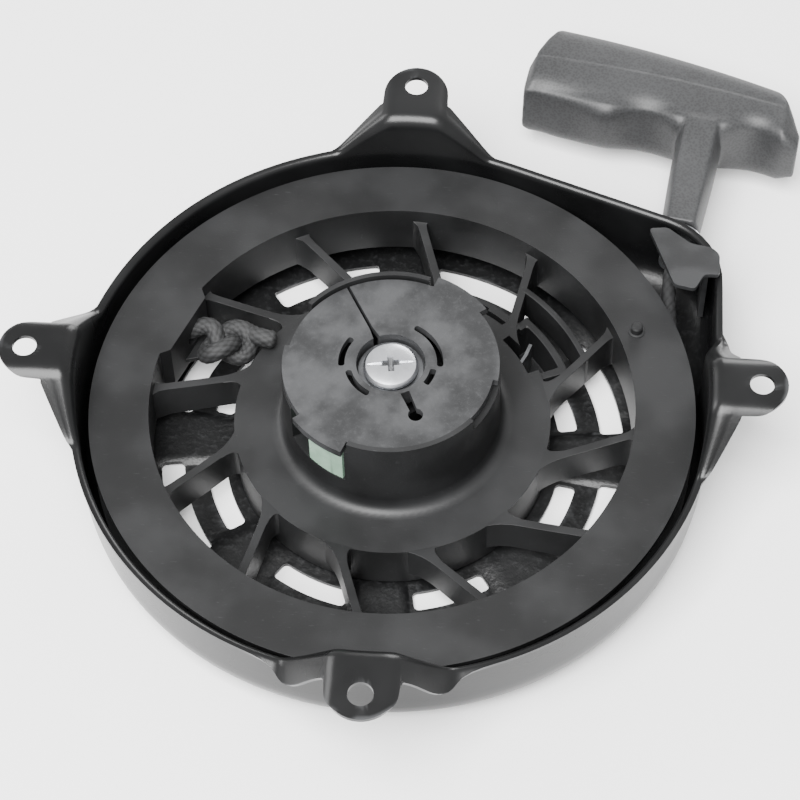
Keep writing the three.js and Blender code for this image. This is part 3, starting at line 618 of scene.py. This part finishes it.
# ---------- pulley ----------
def pulley_rim():
    ring = spun([(RIM_INNER_R, RIM_BOTTOM), (RIM_R, RIM_BOTTOM), (RIM_R, RIM_BOTTOM + 1.7),
                 (GROOVE_R, RIM_BOTTOM + 2.1), (GROOVE_R, RIM_TOP - 2.1), (RIM_R, RIM_TOP - 1.7),
                 (RIM_R, RIM_TOP), (RIM_INNER_R, RIM_TOP)], 180)
    start, end = 146, 172
    arc = [polar(RIM_INNER_R + 4, mix(start, end, i / 4)) for i in range(5)]
    flat = [polar(RIM_INNER_R - 2.6, end - 4), polar(RIM_INNER_R - 3, start + 4)]
    block = prism(arc + flat, RIM_BOTTOM, RIM_TOP)
    inside = prism([p + polar(2.2, (start + end) / 2) for p in arc + flat], RIM_BOTTOM - 1, RIM_TOP - 2.1)
    hole = rod(ROPE_R + 0.9, -9, 9)
    bmesh.ops.rotate(hole, verts=hole.verts, matrix=Matrix.Rotation(math.radians(90), 3, "Y"))
    bmesh.ops.rotate(hole, verts=hole.verts, matrix=Matrix.Rotation(math.radians(157), 3, "Z"))
    bmesh.ops.translate(hole, verts=hole.verts, vec=polar(GROOVE_R - 4, 157, ROPE_Z))
    return carved(carved(ring, carved(block, inside), operation="UNION"), hole)


def pulley_hub():
    boss = POST_R + 4.3
    bore = POST_R + 0.3
    body = spun([(bore, 16.4), (boss, 16.4), (boss, HUB_FLOOR - 3), (HUB_INNER_R, HUB_FLOOR - 3),
                 (HUB_INNER_R, 15.8), (CUP_R - 2.4, 15.8), (CUP_R - 2.4, 2.4), (CUP_R, 2.4),
                 (CUP_R, WEB_TOP), (35.4, WEB_TOP), (33.6, WEB_TOP + 0.3), (32.2, WEB_TOP + 1.1),
                 (31.4, WEB_TOP + 2.4), (HUB_R, WEB_TOP + 4.4), (HUB_R, HUB_TOP), (HUB_INNER_R, HUB_TOP),
                 (HUB_INNER_R, HUB_FLOOR), (boss, HUB_FLOOR), (boss, 35.5), (bore, 35.5)], 180)
    guards = [sector(HUB_R - 1.4, HUB_R + 0.02, low, high, HUB_TOP - 3, GUARD_TOP, 24)
              for low, high in ((72.6, 143.6), (-108.9, -38.2))]
    shelf = sector(CUP_R - 1, 50, 43, 64, WEB_TOP - 2.4, WEB_TOP, 12)
    body = carved(body, *guards, shelf, operation="UNION")
    tools = [sector(HUB_INNER_R - 1, HUB_R + 2, low, high, HUB_FLOOR + 0.2, HUB_TOP + 1, 16)
             for low, high in ((-150, -110.5), (30, 69.5))]
    tools.append(sector(CUP_R - 3.4, CUP_R + 3, 25, 44, 3.9, WEB_TOP + 2, 12))
    tools.append(sector(CUP_R + 0.2, CUP_R + 1.7, 42, 58, WEB_TOP - 3, WEB_TOP + 1, 8))
    tools.append(sector(CUP_R - 0.7, CUP_R + 2.6, 57.5, 60.5, WEB_TOP - 1.6, WEB_TOP + 1, 4))
    return carved(body, *tools)


def bend(a, b, c, share):
    return a.lerp(b, share).lerp(b.lerp(c, share), share)


def spoke(index):
    """A slanted rib that runs out into the web and into the rim with a hollow curve on each side."""
    hub_r, rim_r = CUP_R - 0.6, RIM_INNER_R + 0.8
    hub, rim = polar(hub_r, -15.5), polar(rim_r, -2.7)
    along = (rim - hub).normalized()
    side = Vector((-along.y, along.x))
    bm = bmesh.new()
    bmesh.ops.create_cube(bm, size=1, matrix=Matrix.Translation((0.5, 0, 0.5)))
    for share in (0.02, 0.05, 0.09, 0.14, 0.2, 0.26, 0.5, 0.84, 0.9, 0.94, 0.97):
        bmesh.ops.bisect_plane(bm, geom=bm.verts[:] + bm.edges[:] + bm.faces[:], plane_co=(share, 0, 0),
                               plane_no=(1, 0, 0))
    for vert in bm.verts:
        share, way = vert.co.x, 2 * vert.co.y
        flank = [hub.lerp(rim, at) + side * 1.2 * way for at in (0.05, 0.26, share, 0.84, 0.96)]
        spot = flank[2]
        if share < 0.26:
            spot = bend(polar(hub_r, -15.5 + 6.8 * way), flank[0], flank[1], share / 0.26)
        elif share > 0.84:
            spot = bend(polar(rim_r, -2.7 + 2.8 * way), flank[4], flank[3], (1 - share) / 0.16)
        low, high = mix(6.2, RIM_BOTTOM, share), mix(WEB_TOP - 0.05, 21.6, share ** 1.3)
        vert.co = (*spot, mix(low, high, vert.co.z))
    softened(bm, 0.4, 2, 50)
    bmesh.ops.rotate(bm, verts=bm.verts, matrix=Matrix.Rotation(math.radians(360 / SPOKES * index), 3, "Z"))
    return outward(bm)


def hook_pocket():
    body = sector(CUP_R - 0.8, 54.4, 22, 47, 2.4, 16.4, 14)
    return softened(carved(body, sector(CUP_R - 3, 52, 25, 44, 3.9, 20, 12)), 0.5)


def rim_peg():
    bm = spun([(0.01, RIM_TOP - 0.5), (2.6, RIM_TOP - 0.5), (2.4, RIM_TOP + 0.25), (1.8, RIM_TOP + 0.4),
               (1.7, RIM_TOP + 2.2), (1.35, RIM_TOP + 2.6), (0.01, RIM_TOP + 2.7)], 24)
    bmesh.ops.translate(bm, verts=bm.verts, vec=(69.5, 29.2, 0))
    return bm


pulley_parts = [softened(pulley_rim(), 0.5), softened(pulley_hub(), 0.35)]
pulley_parts += [spoke(index) for index in range(SPOKES)]
pulley_parts += [hook_pocket(), rim_peg(), softened(sector(58.6, 60.6, 22, 54, RIM_BOTTOM, 19.8, 16), 0.4)]
shelf = [polar(72, 148), polar(61, 150), polar(60, 158), polar(71.5, 165)]
pulley_parts.append(softened(prism(shelf, 11, 12.6), 0.3))
piece(merged(*pulley_parts), "pulley_moulding", "pulley", PULLEY_PLASTIC, ["pulley"])


# ---------- clutch ----------
def friction_disc():
    low = PLATE_TOP - PLATE_T
    eye = PLATE_EYE_R
    body = spun([(eye, low), (PLATE_R, low), (PLATE_R, PLATE_TOP), (eye, PLATE_TOP)], 180)
    cup = spun([(6.5, 39.5), (eye + 1.1, 39.5), (eye + 1.1, PLATE_TOP), (eye, PLATE_TOP), (eye, 41.2), (6.5, 41.2)], 96)
    parts = [cup]
    for turn in (0, 180):
        parts.append(sector(PLATE_R - 2, 30.6, turn - 8, turn + 40, low, PLATE_TOP, 24))
        parts.append(sector(PLATE_R - 2, 32.9, turn + 38.5, turn + 69.5, low, PLATE_TOP, 18))
        parts.append(rod(1.5, low - 6, low + 1, polar(16.5, 60 + turn), 20))
    body = carved(body, *parts, operation="UNION")
    tools = []
    for start, end, inner in ((146, 188, 13.2), (196, 244, 11.5), (-2, 65, 13.2), (-33, -7, 11.5)):
        slot = sector(inner - 0.2, inner + 1.6, start, end, low - 1, PLATE_TOP + 1, 16)
        corners = [e for e in slot.edges if abs(e.verts[0].co.z - e.verts[1].co.z) > 2 and e.calc_face_angle() > 1]
        bmesh.ops.bevel(slot, geom=corners, offset=0.8, segments=4, profile=0.5, affect="EDGES", material=-1)
        tools.append(slot)
    slit = prism([(eye - 1, 1.1), (eye - 1, -1.1), (13, -0.5), (36, -0.4), (36, 0.4), (13, 0.5)], 39, PLATE_TOP + 1)
    bmesh.ops.rotate(slit, verts=slit.verts, matrix=Matrix.Rotation(math.radians(119), 3, "Z"))
    key = prism([(eye + 1.1, 1.3), (eye + 1.1, -1.3), (19, -1), (19, 1)], low - 1, PLATE_TOP + 1)
    bmesh.ops.rotate(key, verts=key.verts, matrix=Matrix.Rotation(math.radians(-64.5), 3, "Z"))
    body = carved(body, merged(slit, *tools))
    return carved(body, key, rod(2.1, low - 1, PLATE_TOP + 1, polar(19, -64.5), 24))


piece(softened(friction_disc(), 0.28, 2, 45), "friction_disc", "retainer", PLATE_PLASTIC, ["friction_plate"])


def pan_screw():
    top = SCREW_SEAT + 2.6
    bm = spun([(0.01, 20), (2.6, 20), (2.9, 20.6), (2.9, SCREW_SEAT), (7.2, SCREW_SEAT), (7.75, SCREW_SEAT + 0.5),
               (7.7, SCREW_SEAT + 1.2), (7.1, SCREW_SEAT + 1.9), (5.6, top - 0.25), (3, top - 0.05), (0.01, top)], 64)
    tools = []
    for turn in (8, 98):
        arm = bmesh.new()
        bmesh.ops.create_cone(arm, cap_ends=True, segments=4, radius1=0.35, radius2=1, depth=1,
                              matrix=Matrix.Rotation(math.radians(45), 4, "Z"))
        bmesh.ops.scale(arm, verts=arm.verts, vec=(4.8, 1.5, 3.4))
        bmesh.ops.translate(arm, verts=arm.verts, vec=(0, 0, top - 0.9))
        bmesh.ops.rotate(arm, verts=arm.verts, matrix=Matrix.Rotation(math.radians(turn), 3, "Z"))
        tools.append(arm)
    line = bmesh.new()
    bmesh.ops.create_cube(line, size=1, matrix=Matrix.Translation((0, 0, top)))
    bmesh.ops.scale(line, verts=line.verts, vec=(18, 0.9, 1.3), space=Matrix.Translation((0, 0, -top)))
    bmesh.ops.rotate(line, verts=line.verts, matrix=Matrix.Rotation(math.radians(8), 3, "Z"))
    return carved(bm, *tools, line)


piece(pan_screw(), "pan_screw", "housing", SCREW_ZINC, ["retainer_screw"])


def guide_plate():
    """Steel plate across the rope corner, with a leg down inside the wall."""
    corners = ((3, 17.1), (8.4, 17.8), (15.3, 12.2), (21.8, 10.9), (24, 8.6), (24, 1), (19.5, 0.9), (16.8, -4.6),
               (10.7, -3.3))
    plate = prism([CORNER_AT + Vector(c) for c in corners], 30.8, 32.4)
    upright = [e for e in plate.edges if abs(e.verts[0].co.z - e.verts[1].co.z) > 1]
    bmesh.ops.bevel(plate, geom=upright, offset=1.1, segments=4, profile=0.5, affect="EDGES", material=-1)
    leg = prism([(88.4, 47.5), (90, 47.5), (90, 54), (88.4, 54)], 10.2, 32.2)
    return softened(carved(plate, leg, operation="UNION"), 0.3)


piece(guide_plate(), "guide_plate", "housing", GREY_SHEET, ["rope_guide"])


# ---------- rope ----------
def smooth_path(points, spacing):
    """Evenly spaced points on a smooth curve through the given ones."""
    curve = bpy.data.curves.new("path", "CURVE")
    curve.dimensions = "3D"
    curve.resolution_u = 24
    spline = curve.splines.new("BEZIER")
    spline.bezier_points.add(len(points) - 1)
    for knot, point in zip(spline.bezier_points, points):
        knot.co = point
        knot.handle_left_type = knot.handle_right_type = "AUTO"
    path = bpy.data.objects.new("path", curve)
    scene.collection.objects.link(path)
    line = baked(path)
    line.verts.ensure_lookup_table()
    drawn = [v.co.copy() for v in line.verts]
    line.free()
    result, gone, last = [drawn[0]], 0.0, drawn[0]
    for point in drawn[1:]:
        gap = (point - last).length
        while gone + gap >= spacing:
            last = last.lerp(point, (spacing - gone) / gap)
            result.append(last)
            gap = (point - last).length
            gone = 0.0
        gone += gap
        last = point
    return result + [drawn[-1]]


def rope(points, spacing=0.55, sides=28, strands=5, pitch=1.1, radius=ROPE_R):
    """Braided cord along a path: a ring drawn along it, swelling where a strand lies on top."""
    path = smooth_path(points, spacing)
    bm = bmesh.new()
    weave = bm.verts.layers.float.new("weave")
    ring = bmesh.ops.create_circle(bm, segments=sides, radius=1)["verts"]
    edges = list({e for v in ring for e in v.link_edges})
    up = Vector((0, 0, 1))
    if abs((path[1] - path[0]).normalized().z) > 0.9:
        up = Vector((0, 1, 0))
    for index, point in enumerate(path):
        along = (path[min(index + 1, len(path) - 1)] - path[max(index - 1, 0)]).normalized()
        side = up.cross(along).normalized()
        up = along.cross(side).normalized()
        if index:
            made = bmesh.ops.extrude_edge_only(bm, edges=edges)["geom"]
            edges = [g for g in made if isinstance(g, bmesh.types.BMEdge)]
            ring = [g for g in made if isinstance(g, bmesh.types.BMVert)]
        end = min(index, len(path) - 1 - index) * spacing
        full = math.sqrt(max(1 - max(1 - end / (0.6 * radius), 0) ** 2, 0.02))
        for number, vert in enumerate(ring):
            turn = math.tau * number / sides
            twist = index * spacing / pitch
            height = math.sqrt(abs(math.sin(strands * turn / 2 + twist) * math.sin(strands * turn / 2 - twist)))
            reach = (radius - 0.32 + 0.32 * height) * full
            # The strand height is kept as the mask for the painted shade in the crevices between strands.
            vert[weave] = height
            vert.co = point + side * math.cos(turn) * reach + up * math.sin(turn) * reach
    bmesh.ops.holes_fill(bm, edges=[e for e in bm.edges if e.is_boundary], sides=0)
    return bm


pull = polar(1, PULL_ANGLE)
drawn_r = GROOVE_R + 0.6 + 3 * ROPE_R
last_turn = [polar(drawn_r, mix(-152, -1, i / 16), ROPE_Z) for i in range(17)]
way_out = [Vector((*(EXIT + pull * distance), ROPE_Z)) for distance in (-11, -5, 0, 8, 20, 35, 50, 53.5)]
run = rope(last_turn + [last_turn[-1].lerp(way_out[0], 0.5)] + way_out, 0.8, 20)
run_piece = piece(run, "rope_line", None, BRAID, ["rope_run", "grip_rope"], sharp=80)
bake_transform(run_piece)

turns = []
for i in range(3 * 20 + 1):
    turns.append(polar(GROOVE_R + 0.35 + ROPE_R, 157 - 18 * i, mix(RIM_TOP - 4.6, RIM_BOTTOM + 4.6, i / 60)))
for i in range(1, 17):
    turns.append(polar(drawn_r + 0.2, 157 - 18 * (60 + i), RIM_BOTTOM + 4.6 + 0.02 * i))
piece(rope(turns, 2.6, 12), "rope_turns", "pulley", BRAID, ["rope_winding"], sharp=80)


def stopper_knot():
    """Overhand knot in the rim's pocket, its tail lying over the web."""
    at = Vector((-51.2, 24.6, 17.6))
    points = [polar(76, 157, ROPE_Z), polar(70, 157, ROPE_Z)]
    for i in range(15):
        t = math.pi + 0.62 + (math.tau - 1.24) * i / 14
        spot = Vector((math.sin(t) + 2 * math.sin(2 * t), math.cos(t) - 2 * math.cos(2 * t), -1.15 * math.sin(3 * t)))
        points.append(at + Matrix.Rotation(math.radians(200), 3, "Z") @ spot * 2.45)
    points += [at + Vector((10.4, -0.6, 3.4)), at + Vector((15.4, -1.4, 2.9))]
    return rope(points, 0.4, 40, strands=8, pitch=0.95, radius=2.75)


piece(stopper_knot(), "stopper_knot", "pulley", BRAID, ["rope_knot"], sharp=80)


# ---------- grip ----------
def lofted(stations, outline):
    """A closed outline drawn through stations along +X. outline(station, share) gives (y, z) round the section."""
    sides = 40
    bm = bmesh.new()
    ring = bmesh.ops.create_circle(bm, segments=sides, radius=1)["verts"]
    edges = list({e for v in ring for e in v.link_edges})
    for index, x in enumerate(stations):
        if index:
            made = bmesh.ops.extrude_edge_only(bm, edges=edges)["geom"]
            edges = [g for g in made if isinstance(g, bmesh.types.BMEdge)]
            ring = [g for g in made if isinstance(g, bmesh.types.BMVert)]
        for number, vert in enumerate(ring):
            vert.co = (x, *outline(x, number / sides))
    bmesh.ops.holes_fill(bm, edges=[e for e in bm.edges if e.is_boundary], sides=0)
    return outward(bm)


GRIP_LEFT, GRIP_RIGHT = -57, 30.5
GRIP_FRONT = 41


def bar_section(x, share):
    """Half round at the front, where the finger hollows are, and squarer at the back."""
    hollow = 0
    for low, high, deep in ((GRIP_LEFT - 6, -31, 3.6), (-29, -7, 4.6), (7, 26, 4.6)):
        if low < x < high:
            hollow = deep * math.sin(math.pi * (x - low) / (high - low)) ** 1.3
    front = GRIP_FRONT + 2.6 * smooth_step(x, -42, GRIP_LEFT - 2)
    back = 73.4 - 0.0014 * (x + 60) ** 2 - 0.03 * (x + 57)
    left_in = smooth_step(x, GRIP_LEFT - 1, GRIP_LEFT + 7.5)
    right_in = smooth_step(x, GRIP_RIGHT + 0.5, GRIP_RIGHT - 9)
    back = mix(mix(front, back, 0.3), back, min(left_in ** 0.55, right_in ** 0.6))
    half = GRIP_T / 2 * min(mix(0.8, 1, smooth_step(x, GRIP_LEFT, GRIP_LEFT + 2.5)),
                            mix(0.66, 1, smooth_step(x, GRIP_RIGHT, GRIP_RIGHT - 6)))
    turn = math.tau * share
    c, s = math.cos(turn), math.sin(turn)
    power = 0.3 if c > 0 else 0.55
    y = math.copysign(abs(c) ** power, c)
    z = math.copysign(abs(s) ** (0.3 if c > 0 else 0.45), s)
    up = smooth_step(z, -1, 0.6)
    front += hollow * mix(0.25, 1, up) * smooth_step(y, 1, -0.6)
    return mix(front, back, (y + 1) / 2), z * half


def stem_section(x, share):
    """Flat on top, with sloping shoulders, and taller where it joins the bar."""
    wide = mix(12.2, 14, smooth_step(x, 4, 34)) / 2
    high = mix(8, 10.8, smooth_step(x, 18, 46))
    turn = math.tau * share
    c, s = math.cos(turn), math.sin(turn)
    y = math.copysign(abs(c) ** 0.8, c) * wide
    return y, math.copysign(min(abs(s) * 1.25, 1), s) * high


def grip_moulding():
    steps = [GRIP_LEFT + 0.1, GRIP_LEFT + 0.8, GRIP_LEFT + 2, GRIP_LEFT + 4]
    steps += [GRIP_LEFT + 6 + i for i in range(int(GRIP_RIGHT - GRIP_LEFT - 10))]
    steps += [GRIP_RIGHT - 3, GRIP_RIGHT - 1.6, GRIP_RIGHT - 0.6, GRIP_RIGHT - 0.1]
    bar = lofted(steps, bar_section)
    stem = lofted([5.6 + i * 2 for i in range(22)], stem_section)
    bmesh.ops.rotate(stem, verts=stem.verts, matrix=Matrix.Rotation(math.radians(90), 3, "Z"))
    blank = as_object(merged(bar, stem), "blank")
    fuse = blank.modifiers.new("fuse", "REMESH")
    fuse.mode, fuse.voxel_size, fuse.adaptivity = "VOXEL", 0.6, 0
    ease = blank.modifiers.new("ease", "SMOOTH")
    ease.factor, ease.iterations = 0.5, 7
    body = baked(blank)
    for vert in body.verts:
        seam = 59.8 - 0.0012 * (vert.co.x + 40) ** 2
        on_top = smooth_step(vert.co.z, 7, 10) * smooth_step(vert.co.x, 27, 20)
        vert.co.z -= on_top * (0.3 * math.exp(-((vert.co.y - seam) / 0.8) ** 2)
                               + 0.07 * max(seam - vert.co.y, 0) * smooth_step(vert.co.y, 44, 48))
    pocket = bmesh.new()
    bmesh.ops.create_cube(pocket, size=1)
    bmesh.ops.scale(pocket, verts=pocket.verts, vec=(13, 30, 12))
    bmesh.ops.translate(pocket, verts=pocket.verts, vec=(0, 67, 0))
    corners = [e for e in pocket.edges if abs(e.verts[0].co.y - e.verts[1].co.y) > 5]
    bmesh.ops.bevel(pocket, geom=corners, offset=2.5, segments=5, profile=0.5, affect="EDGES", material=-1)
    return on_pull(carved(body, pocket, rod_along_pull(2.9, 3, 53, 24)))


piece(grip_moulding(), "grip_moulding", "handle", GRIP_PLASTIC, ["grip"], sharp=50)


# ---------- frame pieces that stay, with their finishes ----------
def refinish(node, material, bevel=0):
    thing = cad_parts[node]
    thing.data.materials.clear()
    thing.data.materials.append(material)
    welding = thing.modifiers.new("welding", "WELD")
    welding.merge_threshold = 0.00001
    if bevel:
        rounding = thing.modifiers.new("rounding", "BEVEL")
        rounding.width, rounding.segments, rounding.limit_method = bevel * MM, 3, "ANGLE"
        rounding.angle_limit = math.radians(40)


refinish("centre_post", POST_STEEL)
refinish("rope_eyelet", ZINC, 0.3)
refinish("spring_cover", GREY_SHEET, 0.2)
refinish("rewind_spring", SPRING_STEEL)
refinish("friction_spring", SPRING_STEEL)
refinish("pawl_1", PAWL_PLASTIC, 0.7)
refinish("pawl_2", PAWL_PLASTIC, 0.7)
refinish("screw_washer", SPRING_STEEL)
refinish("grip_insert", ZINC)
refinish("grip_knot", BRAID)

# ---------- floor and light ----------
floor_bm = bmesh.new()
bmesh.ops.create_grid(floor_bm, x_segments=1, y_segments=1, size=4, matrix=Matrix.Translation((0, 0, -0.0003)))
floor = as_object(floor_bm, "floor")
paper = Finish("paper")
floor.data.materials.append(paper.finish(Base_Color=grey(0.93), Roughness=0.8))

world = bpy.data.worlds.new("studio")
world.use_nodes = True
world.node_tree.nodes["Background"].inputs["Color"].default_value = (1, 1, 1, 1)
world.node_tree.nodes["Background"].inputs["Strength"].default_value = 0.92
scene.world = world


def softbox(name, at, size, power):
    data = bpy.data.lights.new(name, "AREA")
    data.shape, data.size, data.energy = "SQUARE", size, power
    lamp = bpy.data.objects.new(name, data)
    lamp.location = at
    lamp.rotation_euler = (-Vector(at)).to_track_quat("-Z", "Y").to_euler()
    scene.collection.objects.link(lamp)


softbox("overhead", (-0.25, -0.6, 1.35), 1.0, 85)
softbox("left", (-1.2, 0.5, 0.6), 0.6, 9)
softbox("behind", (0.35, 1.35, 0.42), 0.7, 12)
